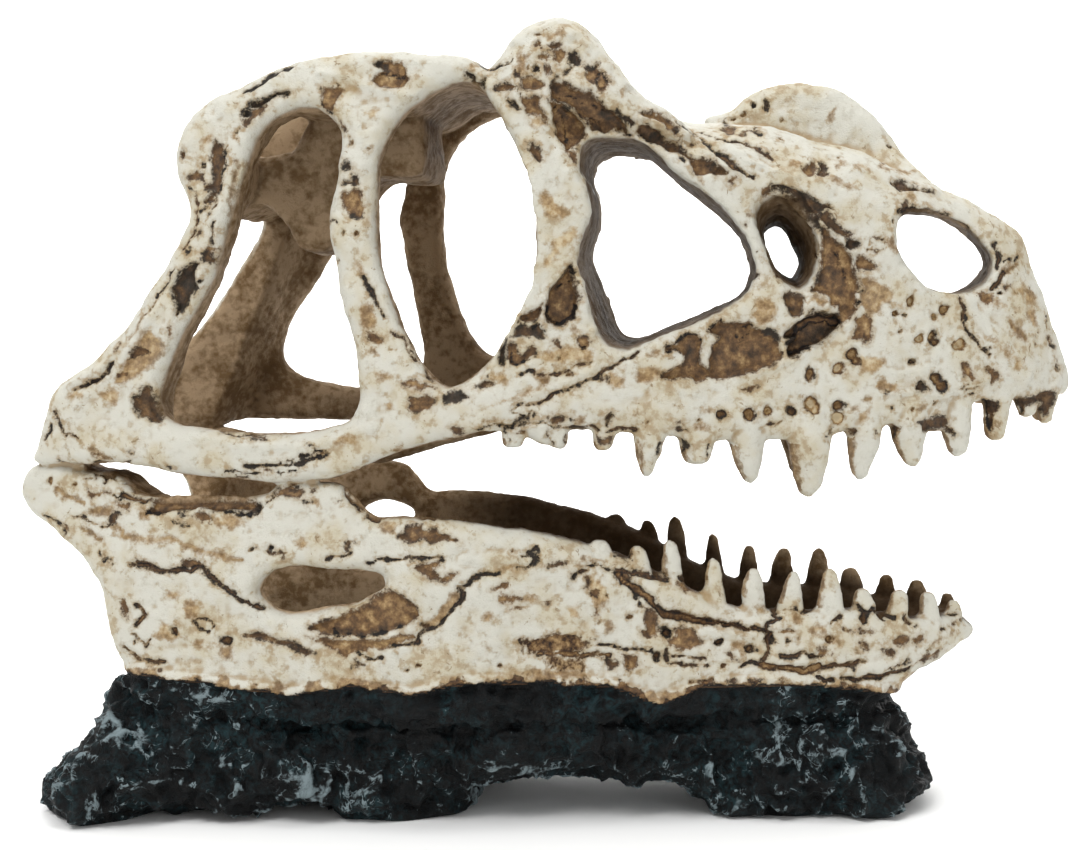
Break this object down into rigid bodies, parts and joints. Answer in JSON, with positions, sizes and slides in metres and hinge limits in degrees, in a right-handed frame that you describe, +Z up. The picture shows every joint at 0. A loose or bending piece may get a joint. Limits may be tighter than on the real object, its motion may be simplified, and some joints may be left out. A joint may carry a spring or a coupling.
{
  "type": "dinosaur skull replica ornament",
  "caption": "Tabletop cast-resin replica of a horned theropod skull, jaws open, fixed on a rugged rock-shaped base.",
  "frame": {"origin": "on the surface the base stands on, under the middle of the bounding box", "axes": "+X towards the tip of the snout, +Y towards the animal's left side, +Z up"},
  "size_m": [0.1822, 0.072, 0.1382],
  "materials": {
    "resin_bone": "cream-painted cast resin with a brown wash in the recesses",
    "resin_rock": "near-black painted cast resin, dry-brushed grey and teal"
  },
  "bodies": {
    "root": {"braincase": "resin_bone", "dentary_left": "resin_bone", "dentary_right": "resin_bone", "jugal_left": "resin_bone", "jugal_right": "resin_bone", "lacrimal_left": "resin_bone", "lacrimal_right": "resin_bone", "maxilla": "resin_bone", "nasals": "resin_bone", "postorbital_left": "resin_bone", "postorbital_right": "resin_bone", "premaxilla": "resin_bone", "quadrate_left": "resin_bone", "quadrate_right": "resin_bone", "squamosal_left": "resin_bone", "squamosal_right": "resin_bone", "surangular_left": "resin_bone", "surangular_right": "resin_bone", "rock_base": "resin_rock"}
  },
  "joints": []
}
